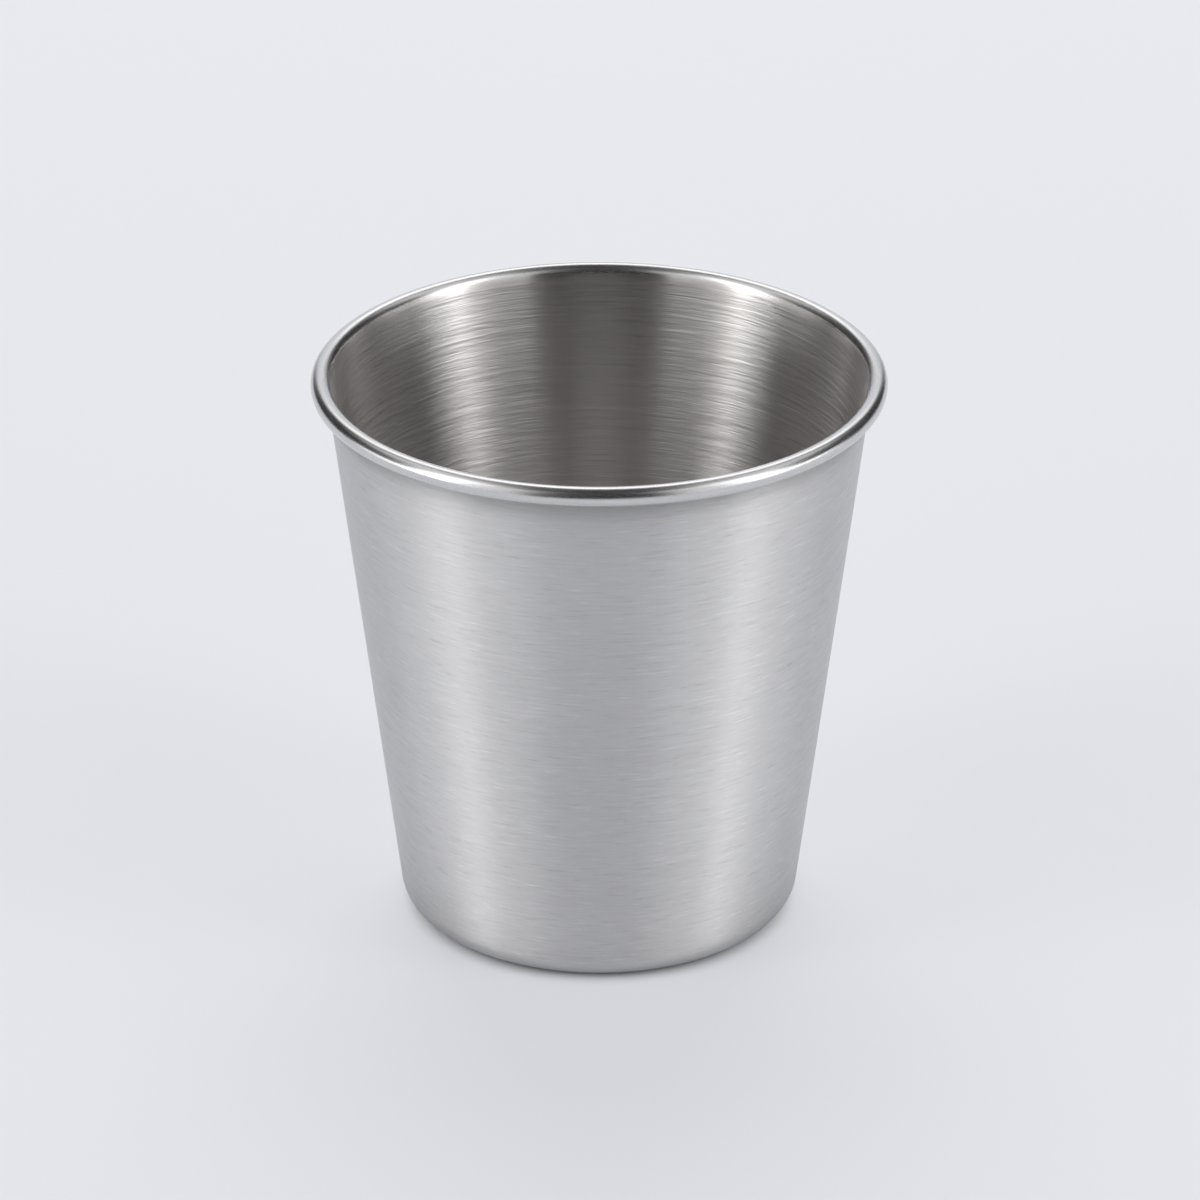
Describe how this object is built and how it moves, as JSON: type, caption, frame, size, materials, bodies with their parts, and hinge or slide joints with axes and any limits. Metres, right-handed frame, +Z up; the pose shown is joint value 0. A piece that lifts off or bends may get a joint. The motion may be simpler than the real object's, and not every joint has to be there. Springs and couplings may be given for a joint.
{
  "type": "stainless steel cup",
  "caption": "Tapered single-wall drinking cup of brushed stainless steel, with a slightly flared lip, an outward rolled rim bead, a rounded corner and a shallow recessed base to stand on.",
  "frame": {"origin": "centre of the foot, on the plane that the cup stands on", "axes": "+Z up along the cup's axis, towards the mouth; X and Y are alike because the cup is round"},
  "size_m": [0.075, 0.075, 0.076],
  "materials": {
    "brushed_stainless": "satin, brushed round the cup, with a smoother rolled rim"
  },
  "bodies": {
    "root": {"cup_shell": "brushed_stainless"}
  },
  "joints": []
}
